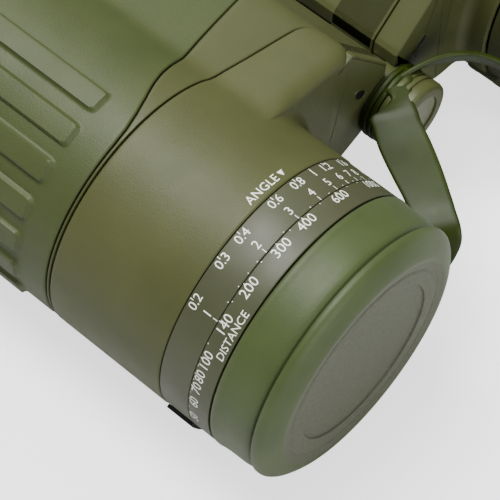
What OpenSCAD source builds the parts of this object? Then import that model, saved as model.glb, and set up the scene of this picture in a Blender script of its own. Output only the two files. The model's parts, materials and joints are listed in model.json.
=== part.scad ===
// Rubber-armoured prism binoculars with a ranging ring on the right barrel.
// Frame: Y runs along the optical axes, objectives towards -Y; Z is up; X = 0 holds the hinge axis.
// The origin is on the hinge axis, level with the tripod socket's mouth.

/* [Layout] */
// Distance between the two objective axes
axis_gap = 119; // [100:1:145]
// How far the eyepiece axis lies inward of the objective axis
eye_shift = 23; // [16:0.5:26]
// Rear edge of the ring zone on the objective tube
ring_y = -9; // [-20:0.5:0]
// Front wall of the prism housings
wall_y = 5.5; // [5:0.5:10]
// Length of the prism housings behind their front wall
housing_len = 84.5; // [75:0.5:110]

/* [Prism housing] */
// Height of the housing's top above the objective axis
top_z = 26.7; // [24:0.1:30]
// Depth of the housing's underside below the objective axis
bottom_z = 15; // [14:0.1:20]
// Wall of the cast housing
wall = 1.6; // [1.2:0.1:2.2]
// Thickness of the rubber armour
armour = 1.2; // [0.8:0.1:1.8]
// Corner radius of the housing along its inner edges
corner_r = 3; // [2.6:0.1:5]
// Face width of a prism
prism_w = 15; // [10:0.5:16]

/* [Objective] */
// Outer radius of the armoured objective tube
tube_r = 31.2; // [30.6:0.1:36]
// Clear aperture radius of the objective
lens_r = 25; // [22:0.5:25.5]
// Width of the angle ring
angle_w = 7.7; // [6:0.1:12]
// Width of the distance ring
distance_w = 5.3; // [4:0.1:9]
// Length of the objective cap's skirt and rim
cap_len = 15.1; // [13:0.1:22]

/* [Eyepiece] */
// Outer radius of the focus ring
focus_r = 19.5; // [18.5:0.1:21]
// Length of the focus ring
focus_len = 15; // [12:0.5:20]
// Travel of the eyepiece each way from the middle of its range
focus_travel = 2.5; // [1.5:0.1:2.8]
// Outer radius of the eyecup
eyecup_r = 21; // [19.5:0.1:23]
// Length of the eyecup
eyecup_len = 23; // [16:0.5:30]

/* [Hinge] */
// How far the hinge axis lies below the objective axes
hinge_drop = 2.2; // [0:0.1:4]
// Radius of the hinge lugs
lug_r = 8.4; // [8:0.1:10]
// Radius of the hinge axle
axle_r = 5; // [4.6:0.1:5.2]
// Radius of the tripod screw hole
socket_r = 3.175; // [2.4:0.005:3.2]
// Depth of the tripod screw hole
socket_depth = 10; // [7:0.5:14]
// Radius of the stem that carries the cap straps
stem_r = 6.4; // [6:0.1:7]
// Radius of the knurled socket cover
cover_r = 9.3; // [9:0.1:10]

/* [Fits] */
// Radial clearance of a running fit
run = 0.05; // [0.02:0.01:0.1]
// Gap between parts that only stand side by side
gap = 0.3; // [0.15:0.05:0.5]

/* [Hidden] */
$fn = 64;
eps = 0.01;
barrel_x = axis_gap / 2;
eye_x = eye_shift;

// Stations along Y, from the cap's face back to the eyecup
angle_y0 = ring_y - angle_w;
distance_y0 = angle_y0 - gap / 2 - distance_w;
cap_y1 = distance_y0 - gap / 2;
cap_y0 = cap_y1 - cap_len;
cell_y0 = cap_y0 + 5.4;
cell_y1 = wall_y + 4;
seam_b = wall_y + 15.8;
seam_a = seam_b + 1.4;
rear_y = wall_y + housing_len;
plate_y = rear_y + 0.2;
plate_t = 3;
boss_y = plate_y + plate_t;
focus_y0 = boss_y + 4;
focus_y1 = focus_y0 + focus_len;
head_y0 = focus_y1 + focus_travel + 0.7;
head_y1 = head_y0 + 6;
eyecup_y1 = head_y0 + eyecup_len + 1;

// Radii on the objective axis
cell_r = tube_r - 2.7;
lens_od = lens_r + 1.4;
shell_r = tube_r - armour;
ring_ri = cell_r + run;
cap_ri = cell_r + 0.25;

// Radii on the eyepiece axis
sleeve_r = focus_r - 4.6;
slide_r = sleeve_r - 2;
eye_lens_r = slide_r - 2.4;

// Prisms: each moves the light by half of the diagonal of the eyepiece shift
prism_v = eye_x / sqrt(2);
shelf_y = rear_y - 24;
shelf_t = 1.8;

// Hinge stations
lug1 = [wall_y, wall_y + 6];
lug2 = [lug1[1] + 0.8, lug1[1] + 12.5];
lug3 = [lug2[1] + 26, lug2[1] + 38];
lug4 = [lug3[1] + 0.8, lug3[1] + 12.8];
hub_y0 = wall_y - 0.7;
tether_t = 1.3;
cover_y0 = -4.4;
hinge_z = -hinge_drop;
cover_y1 = hub_y0 - 2 * tether_t - 0.3;
axle_y0 = socket_depth + 4;

// Ribs on the rear armour
rib_count = 7;
rib_pitch = 16.2;
rib_first = 103.2;
rib_w = 4.9;
rib_h = 0.9;
rib_y0 = seam_a + 7.5;
rib_y1 = rear_y - 12;

// Strap lugs
strap_y0 = rear_y - 20;
strap_slot = [12, 5];
strap_z = 8;

// Palette
army = "#6f7450";
army_dark = "#4c5232";
ring_green = "#6b6e55";
black = "#26261f";
steel = "#a9abad";
brass = "#b39a5c";
glass = "#9fc3c9";
coat = "#7a6fae";

// ---- Helpers -------------------------------------------------------------

// A solid cylinder along Y
module ycyl(r, y0, y1) {
    translate([0, y0, 0]) rotate([-90, 0, 0]) cylinder(r = r, h = y1 - y0);
}

// A cone along Y
module ycone(r0, r1, y0, y1) {
    translate([0, y0, 0]) rotate([-90, 0, 0]) cylinder(r1 = r0, r2 = r1, h = y1 - y0);
}

// A ring along Y
module yring(ro, ri, y0, y1) {
    difference() {
        ycyl(ro, y0, y1);
        ycyl(ri, y0 - 1, y1 + 1);
    }
}

// A turned shape along Y, from a profile of [radius, y] points
module yturn(profile) {
    rotate([-90, 0, 0]) rotate_extrude() polygon(profile);
}

// A 2D shape in the XZ plane, extruded along Y
module yextrude(y0, y1) {
    translate([0, y1, 0]) rotate([90, 0, 0]) linear_extrude(y1 - y0) children();
}

// Puts a piece drawn round the objective axis, hinge towards +X, on its side
module on_side(side) {
    if (side == "right") translate([-barrel_x, 0, hinge_drop]) children();
    else translate([barrel_x, 0, hinge_drop]) mirror([1, 0, 0]) children();
}

// Section of the housing, inset by g: the tube's circle and a box on the hinge side
module section(g) {
    r = corner_r;
    x1 = barrel_x - 15.1 - g;
    z0 = -bottom_z + g;
    z1 = top_z - g;
    rc = max(r - g, 0.4);
    intersection() {
        circle(r = tube_r - g);
        translate([-60, z0]) square([120, 100]);
    }
    translate([0, z0 + rc]) square([x1, z1 - z0 - 2 * rc]);
    translate([0, z0]) square([x1 - rc, z1 - z0]);
    for (z = [z0 + rc, z1 - rc]) translate([x1 - rc, z]) circle(r = rc);
}

// The barrel's outer form, inset by g, between two stations
module barrel_form(g, y0, y1) {
    belly_y = seam_b + 24;
    intersection() {
        union() {
            ycyl(tube_r - g, ring_y, seam_b);
            ycone(tube_r - g, bottom_z - 1 - g, seam_b, belly_y);
            yextrude(wall_y + g, rear_y) section(g);
        }
        translate([-80, y0, -60]) cube([160, y1 - y0, 120]);
    }
}

// Flank that joins a housing to the hinge, in local coordinates
module flank() {
    h = barrel_x;
    x1 = h - 15.1;
    polygon([
        [x1 - 6, top_z - 3.5], [x1 - 0.6, top_z - 1.4], [h - 1.6, lug_r + 2], [h - 1.6, hinge_z],
        [h - 5.6, hinge_z - lug_r + 2.6], [x1 - 0.4, -bottom_z + 2.2], [x1 - 6, -bottom_z + 2.2]
    ]);
}

// Cylinder round the hinge axis, in local coordinates
module hinge_cyl(r, y0, y1) {
    translate([barrel_x, 0, hinge_z]) ycyl(r, y0, y1);
}

// Ranges of Y that the front armour and the rear armour keep, as prisms along Z
module front_side(shift = 0) {
    e = barrel_x;
    translate([0, 0, -60]) linear_extrude(120)
        polygon([
            [-60, -60], [e, -60], [e, seam_b - 6 + shift], [e - 18.3, seam_b - 4.4 + shift],
            [e - 33, seam_b - 1.6 + shift], [e - 46, seam_b + shift], [-60, seam_b + shift]
        ]);
}
module rear_side() {
    e = barrel_x;
    translate([0, 0, -60]) linear_extrude(120)
        polygon([
            [-60, seam_a], [-9, seam_a], [4.7, seam_a + 5.2], [15, seam_a + 6.6],
            [28.6, seam_a + 8.6], [e, seam_a + 11], [e, 200], [-60, 200]
        ]);
}

// ---- Barrel pieces, drawn for the right side ------------------------------

module housing(side) {
    own = side == "right" ? [lug1, lug4] : [lug2, lug3];
    color(army) on_side(side) difference() {
        union() {
            barrel_form(armour, ring_y + gap, rear_y);
            difference() {
                barrel_form(0, ring_y, rear_y - 12);
                front_side(0.25);
                rear_side();
            }
            difference() {
                yextrude(side == "right" ? wall_y : wall_y + gap, lug4[1]) flank();
                hinge_cyl(lug_r + 0.5, wall_y - 1, lug4[1] + 1);
            }
            for (l = own) {
                yextrude(l[0], l[1]) flank();
                hinge_cyl(lug_r, l[0], l[1]);
            }
            if (side == "right") hinge_cyl(cover_r - 0.4, hub_y0, wall_y);
        }
        // Light path and prism chamber
        ycyl(cell_r - 1.3, ring_y - 1, wall_y + 12);
        ycone(cell_r - 1.3, bottom_z - 2.9, wall_y + 12, seam_b + 22);
        yextrude(wall_y + 10, rear_y + 1) section(armour + wall);
        // Hinge bores
        for (l = own)
            hinge_cyl(side == "right" ? axle_r + 0.02 : axle_r + 1.2, l[0] - 3, l[1] + 1);
        if (side == "right") hinge_cyl(axle_r + 0.02, hub_y0 - 1, wall_y + 1);
        if (side == "left") window_cut(0.05);
    }
}

module front_armour(side) {
    color(army) on_side(side) difference() {
        intersection() {
            barrel_form(0, side == "left" ? wall_y - 6.5 : ring_y, seam_b);
            front_side();
            translate([-60, ring_y - 1, -60]) cube([60 + barrel_x - 15.1, 200, 120]);
        }
        barrel_form(armour - eps, ring_y + gap - 0.02, rear_y);
        ycyl(shell_r - gap, ring_y - 1, ring_y + 1);
        yextrude(wall_y - 1, lug4[1] + gap) flank();
        if (side == "left") window_cut(0.05);
    }
}

module rib(angle) {
    r0 = tube_r - 0.5;
    rotate([0, -angle, 0]) translate([r0, 0, 0]) union() {
        translate([0, rib_y0, -rib_w / 2]) cube([rib_h + 0.5, rib_y1 - rib_y0, rib_w]);
        for (y = [rib_y0, rib_y1])
            translate([0, y, 0]) rotate([0, 90, 0]) cylinder(r = rib_w / 2, h = rib_h + 0.5);
    }
}

module rear_armour(side) {
    color(army) on_side(side) difference() {
        union() {
            intersection() {
                barrel_form(0, seam_a, rear_y - 0.4);
                rear_side();
                translate([-60, 0, -60]) cube([60 + barrel_x - 15.3, 200, 120]);
            }
            for (i = [0:rib_count - 1]) rib(rib_first + i * rib_pitch);
        }
        barrel_form(armour - eps, ring_y, rear_y + 5);
        yextrude(wall_y - 1, lug4[1] + gap) flank();
    }
}

module objective_cell(side) {
    color(black) on_side(side) difference() {
        union() {
            ycyl(cell_r, cell_y0, ring_y - 0.2);
            ycyl(cell_r - 1.35, ring_y - 1, cell_y1);
        }
        ycyl(lens_od + run, cell_y0 - 1, cell_y0 + 17);
        ycyl(lens_r - 0.8, cell_y0, cell_y1 + 1);
    }
}

// Doublet: the crown's two faces are spheres, and the flint's front face follows its rear one
lens_back = cell_y0 + 17;
curve_r = 110;
seat_r = lens_od - 0.8;
seat_sag = curve_r - sqrt(curve_r * curve_r - seat_r * seat_r);
module crown_ball(y) { translate([0, y, 0]) sphere(r = curve_r, $fn = 240); }

module objective_crown(side) {
    color(coat, 0.6) on_side(side) intersection() {
        ycyl(lens_od, lens_back - 12.5, lens_back - 1.5);
        crown_ball(lens_back - 11.8 + curve_r);
        crown_ball(lens_back - 2 - curve_r);
    }
}

module objective_flint(side) {
    color(glass, 0.6) on_side(side) difference() {
        ycyl(lens_od, lens_back - 5.1, lens_back - 0.05);
        translate([0, lens_back - 2 - curve_r, 0]) sphere(r = curve_r + 0.05, $fn = 240);
    }
}

module lens_o_ring(side) {
    y = lens_back - 11.8 + seat_sag - 0.75;
    color(black) on_side(side) rotate([-90, 0, 0]) rotate_extrude()
        translate([seat_r, y]) circle(r = 0.7, $fn = 24);
}

module lens_retainer(side) {
    y1 = lens_back - 11.8 + seat_sag - 1.5;
    color(black) on_side(side) yring(lens_od, lens_r, y1 - 2, y1);
}

// Both prisms sit on the shelf, at right angles to each other, turned by 45 degrees
module prism(mid, turn, face_y, tip) {
    tri = [[-prism_v, face_y], [prism_v, face_y], [0, face_y + tip * prism_v]];
    translate([mid[0], 0, mid[1]]) rotate([0, -turn, 0]) intersection() {
        translate([0, 0, -prism_w / 2]) linear_extrude(prism_w) polygon(tri);
        ycyl(prism_v, face_y - 40, face_y + 40);
    }
}

module prisms(side) {
    v = eye_x / 2;
    color(glass, 0.7) on_side(side) {
        prism([v / 2, v / 2], 45, shelf_y + shelf_t + 0.1, 1);
        prism([v * 1.5, v / 2], -45, shelf_y - 0.1, -1);
    }
}

module prism_shelf(side) {
    v = eye_x / 2;
    color(black) on_side(side) difference() {
        yextrude(shelf_y, shelf_y + shelf_t) section(armour + wall + 0.05);
        for (p = [[0, 0], [v, v], [eye_x, 0]])
            translate([p[0], 0, p[1]]) ycyl(prism_w / 2 - 0.6, shelf_y - 1, shelf_y + shelf_t + 1);
    }
}

module on_eye() { translate([eye_x, 0, 0]) children(); }

screw_at = [[-22, 8], [4, 21], [38, 21], [39, -10], [-18, -9]];

module rear_cover(side) {
    color(black) on_side(side) difference() {
        union() {
            yextrude(plate_y, boss_y) section(0.3);
            on_eye() ycone(focus_r + 1.2, focus_r - 0.3, boss_y - eps, focus_y0 - gap);
            on_eye() ycyl(sleeve_r, boss_y, focus_y1 - 0.5);
        }
        on_eye() ycyl(slide_r + run, plate_y - 1, focus_y1 + 1);
        for (p = screw_at) translate([p[0], 0, p[1]]) {
            ycyl(1.15, plate_y - 1, boss_y + 1);
            ycyl(2.15, boss_y - 1.3, boss_y + 1);
        }
        // Corner left free for the hinge's end cap
        hinge_cyl(lug_r + 2.5, plate_y - 1, boss_y + 1);
    }
}

module cover_screws(side) {
    color(steel) on_side(side) for (p = screw_at) translate([p[0], 0, p[1]]) difference() {
        union() {
            ycyl(1.1, plate_y + 0.05, boss_y - 1.2);
            ycyl(2.1, boss_y - 1.25, boss_y - 0.1);
        }
        translate([-0.25, boss_y - 0.6, -3]) cube([0.5, 2, 6]);
    }
}

module focus_ring(side) {
    color(black) on_side(side) on_eye() difference() {
        union() {
            ycyl(focus_r - 0.6, focus_y0, focus_y1);
            ycyl(focus_r, focus_y0 + 1, focus_y1 - 3);
        }
        ycyl(sleeve_r + run, focus_y0 - 1, focus_y1 + 1);
        for (a = [0:15:345])
            rotate([0, a, 0]) translate([focus_r + 0.35, focus_y0 + 0.5, 0])
                ycyl(0.9, 0, focus_len);
    }
}

module eyepiece_slide(side) {
    color(black) on_side(side) on_eye() difference() {
        union() {
            ycyl(slide_r, plate_y + 3.5, head_y0 + 1);
            ycyl(focus_r - 1.2, head_y0, head_y1);
            ycyl(slide_r + 1.6, head_y1 - 1, head_y1 + 4);
        }
        ycyl(slide_r - 1.6, plate_y + 2, head_y1 - 3);
        ycyl(eye_lens_r - 0.8, head_y1 - 4, head_y1 + 6);
        ycyl(eye_lens_r + run, head_y1 - 1.5, head_y1 + 6);
    }
}

module field_lens(side) {
    y = plate_y + 7;
    color(glass, 0.6) on_side(side) on_eye() intersection() {
        ycyl(slide_r - 1.65, y, y + 7);
        translate([0, y + 0.3 + 34, 0]) sphere(r = 34, $fn = 200);
        translate([0, y + 6.5 - 60, 0]) sphere(r = 60, $fn = 200);
    }
}

module eye_lens(side) {
    y = head_y1 - 1.4;
    color(coat, 0.6) on_side(side) on_eye() intersection() {
        ycyl(eye_lens_r, y, y + 4.6);
        translate([0, y + 4.4 - 45, 0]) sphere(r = 45, $fn = 200);
    }
}

module eyecup(side) {
    ri = focus_r - 1.2 + 0.02;
    neck = slide_r + 1.65;
    y0 = head_y0 + 1;
    color(black) on_side(side) on_eye() difference() {
        yturn([
            [ri, y0], [eyecup_r - 0.8, y0], [eyecup_r, y0 + 1.5], [eyecup_r, head_y1 + 2],
            [eyecup_r - 0.4, head_y1 + 4], [eyecup_r, eyecup_y1 - 2.5],
            [eyecup_r - 0.8, eyecup_y1], [eyecup_r - 2.4, eyecup_y1],
            [eyecup_r - 2.6, head_y1 + 6], [neck, head_y1 + 4], [neck, head_y1 + 0.02],
            [ri, head_y1 + 0.02]
        ]);
    }
}

module strap_lug(side) {
    z0 = strap_z - 2.5;
    x1 = -tube_r + 1.2;
    w = strap_slot[1];
    color(army_dark) on_side(side) difference() {
        translate([x1 - w - 3.6, strap_y0 - 3, z0])
            cube([w + 3.6, strap_slot[0] + 6, 5]);
        translate([x1 - w - 1.2, strap_y0, z0 - 1]) cube([w, strap_slot[0], 7]);
        ycyl(tube_r + 0.01, 0, rear_y);
        for (i = [3:5]) rib(rib_first + i * rib_pitch);
    }
}

// Soft cap: skirt with a bulge at its rear, a groove, a proud rim, a bevel and a dished face
module objective_cap(side) {
    y0 = cap_y0;
    y1 = cap_y1;
    face_r = tube_r - 5;
    color(army_dark) on_side(side) union() {
        yturn([
            [0, y0 + 1.4], [face_r - 7, y0 + 1.4], [face_r - 6.4, y0 + 0.9], [face_r - 1.4, y0 + 0.9],
            [face_r - 0.9, y0], [face_r + 0.2, y0], [tube_r - 0.4, y0 + 3.2],
            [tube_r - 0.4, y0 + 4.4], [tube_r - 0.9, y0 + 4.9],
            [tube_r - 0.5, y1 - 2.6], [tube_r - 0.1, y1 - 1], [tube_r - 0.5, y1],
            [cap_ri, y1], [cap_ri, y0 + 5.1], [face_r - 2, y0 + 3.6], [0, y0 + 3.6]
        ]);
        // Tab for the strap, on the hinge side
        translate([tube_r - 1, y0 + 3.1, -4.7]) cube([4.2, 1.3, 9.4]);
    }
}

// Strap that ties a cap to the hinge stem: a flat eye round the stem and a bent band
function tether_eye_y(side) = side == "right" ? hub_y0 - tether_t - 0.1 : hub_y0 - 2 * tether_t - 0.2;
module band_link(a, b, w, t) {
    hull() for (p = [a, b]) translate(p) rotate([0, 0, -37]) cube([w, t, t], center = true);
}
module cap_tether(side) {
    y = tether_eye_y(side);
    hx = barrel_x;
    route = [[hx - 16, y - 0.2, 3.5], [hx - 17.4, y - 7, 5.4], [hx - 18.6, y - 15, 4.2],
             [hx - 20, y - 24, 2.4], [hx - 20.6, cap_y0 + 5, 0.5]];
    color(army) on_side(side) union() {
        translate([hx, 0, hinge_z]) yring(cover_r + 0.3, stem_r + 0.15, y, y + tether_t);
        translate([hx - 16.5, y, 1]) cube([9, tether_t, 5]);
        for (i = [0:len(route) - 2]) band_link(route[i], route[i + 1], i < 1 ? 4 : 8.4, tether_t);
    }
}

// ---- Pieces on the right barrel only --------------------------------------

module angle_ring() {
    color(ring_green) on_side("right")
        yring(tube_r - 0.2, ring_ri, angle_y0, ring_y - gap / 2);
}

pad_angle = 216;
pad_half = 9;
module angle_ring_pad() {
    color(black) on_side("right") intersection() {
        yring(tube_r + 0.7, tube_r - 0.15, angle_y0 + 0.4, ring_y - gap / 2 - 0.4);
        rotate([0, -pad_angle, 0]) translate([tube_r, 0, 0])
            cube([12, 60, 2 * tube_r * sin(pad_half)], center = true);
    }
}

module distance_ring() {
    color(ring_green) on_side("right")
        yring(tube_r - 0.2, cell_r + 0.02, distance_y0, distance_y0 + distance_w);
}

module reticle_disc() {
    color(glass, 0.4) on_side("right") on_eye()
        ycyl(slide_r + run - 0.02, rear_y + 0.05, plate_y + 0.6);
}

// ---- Pieces on the left barrel only ----------------------------------------

grip_y0 = distance_y0;
grip_y1 = wall_y - 6.8;
grip_teeth = 80;
module left_grip_ring() {
    ri = shell_r + 0.02;
    color(army_dark) on_side("left") difference() {
        union() {
            yring(tube_r - 0.45, cell_r + 0.02, grip_y0, ring_y - 0.2);
            yring(tube_r - 0.45, ri, ring_y - 0.25, grip_y1);
        }
        for (i = [0:grip_teeth - 1])
            rotate([0, i * 360 / grip_teeth, 0]) translate([tube_r - 0.1, grip_y0 + 1.2, 0])
                ycyl(0.65, 0, grip_y1 - grip_y0 - 2.4);
        window_cut(0.05);
    }
}

// Small dark window low on the inner side of the left tube
window_angle = -38;
window_y = wall_y - 5.5;
module window_block(grow, depth) {
    rotate([0, -window_angle, 0])
        translate([tube_r - depth, window_y - 4 - grow, -4 - grow])
            cube([depth + 1.2, 8 + 2 * grow, 8 + 2 * grow]);
}
module window_cut(grow) { window_block(grow, 2.2); }

module left_window_frame() {
    color(ring_green) on_side("left") difference() {
        intersection() {
            window_block(0, 2.15);
            ycyl(tube_r + 0.5, window_y - 10, window_y + 10, $fn = 240);
        }
        window_block(-1.2, 2.5);
    }
}

module left_window() {
    color(black) on_side("left") intersection() {
        window_block(-1.25, 2.15);
        ycyl(tube_r - 0.6, window_y - 10, window_y + 10, $fn = 240);
    }
}

// ---- Hinge -----------------------------------------------------------------

module hinge_axle() {
    color(steel) difference() {
        ycyl(axle_r, hub_y0 + 0.05, lug4[1]);
        ycyl(axle_r - 1, hub_y0 - 1, axle_y0);
    }
}

module hinge_washers() {
    color(brass) for (y = [lug1[1], lug3[1]])
        yring(lug_r - 0.6, axle_r + run, y + 0.05, y + 0.75);
}

module left_hinge_bushes() {
    color(brass) for (l = [lug2, lug3]) yring(axle_r + 1.18, axle_r + run, l[0], l[1]);
}

module tripod_socket() {
    color(steel) difference() {
        union() {
            ycyl(stem_r, 0, hub_y0);
            ycyl(axle_r - 1.02, 0, axle_y0 - 0.1);
        }
        ycyl(socket_r, -1, socket_depth);
    }
}

module socket_cover() {
    color(army_dark) difference() {
        union() {
            ycyl(cover_r, cover_y0 + 1.2, cover_y1);
            ycone(cover_r - 1.1, cover_r, cover_y0, cover_y0 + 1.21);
        }
        ycyl(stem_r + run, -0.3, cover_y1 + 1);
        ycyl(cover_r - 3, cover_y0 - 1, cover_y0 + 0.6);
        for (y = [-1.6, 0]) yring(cover_r + 1, cover_r - 0.5, y, y + 0.4);
    }
}

module hinge_end_cap() {
    color(black) difference() {
        union() {
            ycyl(lug_r + 0.4, lug4[1] + 0.3, lug4[1] + 2.6);
            ycyl(lug_r - 1, lug4[1] + 2.5, lug4[1] + 3.2);
        }
        ycyl(1.6, lug4[1] + 1.4, lug4[1] + 4);
    }
}

housing("right");  // right_housing
front_armour("right");  // right_front_armour
rear_armour("right");  // right_rear_armour
objective_cell("right");  // right_objective_cell
objective_crown("right");  // right_objective_crown
objective_flint("right");  // right_objective_flint
lens_o_ring("right");  // right_lens_o_ring
lens_retainer("right");  // right_lens_retainer
prism_shelf("right");  // right_prism_shelf
prisms("right");  // right_prisms
rear_cover("right");  // right_rear_cover
cover_screws("right");  // right_cover_screws
focus_ring("right");  // right_focus_ring
eyepiece_slide("right");  // right_eyepiece_slide
field_lens("right");  // right_field_lens
eye_lens("right");  // right_eye_lens
eyecup("right");  // right_eyecup
strap_lug("right");  // right_strap_lug
objective_cap("right");  // right_objective_cap
cap_tether("right");  // right_cap_tether
housing("left");  // left_housing
front_armour("left");  // left_front_armour
rear_armour("left");  // left_rear_armour
objective_cell("left");  // left_objective_cell
objective_crown("left");  // left_objective_crown
objective_flint("left");  // left_objective_flint
lens_o_ring("left");  // left_lens_o_ring
lens_retainer("left");  // left_lens_retainer
prism_shelf("left");  // left_prism_shelf
prisms("left");  // left_prisms
rear_cover("left");  // left_rear_cover
cover_screws("left");  // left_cover_screws
focus_ring("left");  // left_focus_ring
eyepiece_slide("left");  // left_eyepiece_slide
field_lens("left");  // left_field_lens
eye_lens("left");  // left_eye_lens
eyecup("left");  // left_eyecup
strap_lug("left");  // left_strap_lug
objective_cap("left");  // left_objective_cap
cap_tether("left");  // left_cap_tether
angle_ring();
angle_ring_pad();
distance_ring();
reticle_disc();
left_grip_ring();
left_window_frame();
left_window();
hinge_axle();
hinge_washers();
left_hinge_bushes();
tripod_socket();
socket_cover();
hinge_end_cap();
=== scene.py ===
# %% [markdown]
# # Ranging binoculars, built round their mechanical frame
# The mechanical model gives every body its place, so each piece below is worked out in that
# model's own frame: Y along the optical axes with the objectives towards -Y, Z up, and X = 0 on
# the hinge. Lengths are written in millimetres with Z = 0 on the optical axes. When a mesh is made
# they are turned into metres, and lifted by 2.2 mm, because the frame's own Z = 0 is on the lower
# hinge axis.

# %% Load the frame
import json
import bpy
import numpy as np
from mathutils import Matrix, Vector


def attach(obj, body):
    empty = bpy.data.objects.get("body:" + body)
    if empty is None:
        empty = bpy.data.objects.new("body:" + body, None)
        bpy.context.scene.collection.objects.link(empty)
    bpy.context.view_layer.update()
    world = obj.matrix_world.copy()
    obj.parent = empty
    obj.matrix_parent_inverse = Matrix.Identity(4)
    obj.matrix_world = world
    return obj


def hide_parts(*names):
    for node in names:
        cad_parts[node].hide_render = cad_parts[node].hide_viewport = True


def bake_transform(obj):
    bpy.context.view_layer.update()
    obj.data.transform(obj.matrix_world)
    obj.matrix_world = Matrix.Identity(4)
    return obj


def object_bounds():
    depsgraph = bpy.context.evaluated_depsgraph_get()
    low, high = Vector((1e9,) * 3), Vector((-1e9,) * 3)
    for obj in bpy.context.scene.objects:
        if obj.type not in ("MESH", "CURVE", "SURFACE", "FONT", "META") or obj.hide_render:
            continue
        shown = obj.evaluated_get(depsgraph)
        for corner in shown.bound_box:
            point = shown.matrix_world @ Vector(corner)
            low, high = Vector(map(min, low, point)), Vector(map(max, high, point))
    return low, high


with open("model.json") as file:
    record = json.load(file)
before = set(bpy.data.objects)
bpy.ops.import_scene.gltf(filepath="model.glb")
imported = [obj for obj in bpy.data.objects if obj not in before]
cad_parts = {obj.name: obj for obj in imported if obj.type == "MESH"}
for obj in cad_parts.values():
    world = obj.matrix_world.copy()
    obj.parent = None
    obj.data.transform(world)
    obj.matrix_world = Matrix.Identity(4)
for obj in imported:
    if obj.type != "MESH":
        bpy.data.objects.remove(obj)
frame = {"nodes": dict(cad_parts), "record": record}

cad_box = [list(map(float, corner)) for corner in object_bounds()]

# %% [markdown]
# ## The camera comes first
# The view is a long lens from above the front left. A camera's own axes are right, up and backward,
# so its turn is the matrix that has those three as columns.

# %% Camera
MM = 0.001
LIFT = 2.2
CAMERA_AT = np.array([-277.28, -156.49, 366.41 + LIFT]) * MM
CAMERA_RIGHT = np.array([0.6546, -0.7517, 0.0805])
CAMERA_UP = np.array([0.5769, 0.5654, 0.5895])
LENS_MM = 157.1

camera_data = bpy.data.cameras.new("camera")
camera_data.lens = LENS_MM
camera_data.sensor_width = 36.0
camera_data.clip_start = 0.01
camera = bpy.data.objects.new("camera", camera_data)
bpy.context.scene.collection.objects.link(camera)
turn = np.eye(4)
turn[:3, 0] = CAMERA_RIGHT
turn[:3, 1] = CAMERA_UP
turn[:3, 2] = np.cross(CAMERA_RIGHT, CAMERA_UP)
turn[:3, 3] = CAMERA_AT
camera.matrix_world = Matrix(turn.tolist())
bpy.context.scene.camera = camera
print("camera at", CAMERA_AT.round(3), "lens", camera_data.lens)

# %% [markdown]
# ## Small tools for shapes
# A surface here is a grid of points: each row is one station, and each column one place round it.
# Neighbouring points make a quad. A closed ring joins its last column to its first.

# %% Mesh from a grid of points
BARREL_X = 59.5
EYE_SHIFT = 23.0
TUBE_R = 31.2
SIDES = ("right", "left")


def sign(side):
    """-1 for the right barrel and +1 for the left: X = sign * (BARREL_X - distance inward)."""
    return -1.0 if side == "right" else 1.0


def to_side(points, side):
    """Moves points drawn round an objective axis, hinge towards +X, to their side of the hinge."""
    out = np.array(points, dtype=float)
    out[..., 0] = sign(side) * (BARREL_X - out[..., 0])
    return out


def grid_faces(rows, cols, closed=True, flip=False):
    """Quads of a grid: a point, its neighbour in the next row, and the two beside them."""
    index = np.arange(rows * cols).reshape(rows, cols)
    beside = np.roll(index, -1, axis=1)
    quads = np.stack([index[:-1], index[1:], beside[1:], beside[:-1]], axis=-1)
    if not closed:
        quads = quads[:, :-1]
    quads = quads.reshape(-1, 4)
    return quads[:, ::-1] if flip else quads


def make_object(name, points, faces, smooth=True):
    """A mesh object from points in millimetres and a list of faces, at the origin and unturned."""
    mesh = bpy.data.meshes.new(name)
    lifted = np.asarray(points, dtype=float).reshape(-1, 3) + np.array([0.0, 0.0, LIFT])
    mesh.from_pydata((lifted * MM).tolist(), [], faces)
    mesh.polygons.foreach_set("use_smooth", np.full(len(mesh.polygons), smooth))
    mesh.update()
    if smooth:
        mesh.set_sharp_from_angle(angle=0.75)
    obj = bpy.data.objects.new(name, mesh)
    bpy.context.scene.collection.objects.link(obj)
    return obj


def merge(parts):
    """Joins (points, faces) pairs into one, moving each face list past the points before it."""
    points, faces, start = [], [], 0
    for p, f in parts:
        p = np.asarray(p).reshape(-1, 3)
        points.append(p)
        faces += [[int(i) + start for i in face] for face in f]
        start += len(p)
    return np.concatenate(points), faces


def soften(profile, radius=0.3, steps=4):
    """Rounds a profile's corners: each corner becomes a quadratic curve that starts and ends up to
    radius away along its two edges. Ends stay where they are."""
    p = np.array(profile, dtype=float)
    before, corner, after = p[:-2], p[1:-1], p[2:]
    a, b = before - corner, after - corner
    la = np.linalg.norm(a, axis=1, keepdims=True)
    lb = np.linalg.norm(b, axis=1, keepdims=True)
    start = corner + a / la * np.minimum(radius, 0.45 * la)
    end = corner + b / lb * np.minimum(radius, 0.45 * lb)
    t = np.linspace(0, 1, steps)[None, :, None]
    arc = (1 - t) ** 2 * start[:, None] + 2 * t * (1 - t) * corner[:, None] + t ** 2 * end[:, None]
    return np.concatenate([p[:1], arc.reshape(-1, 2), p[-1:]])


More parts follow.
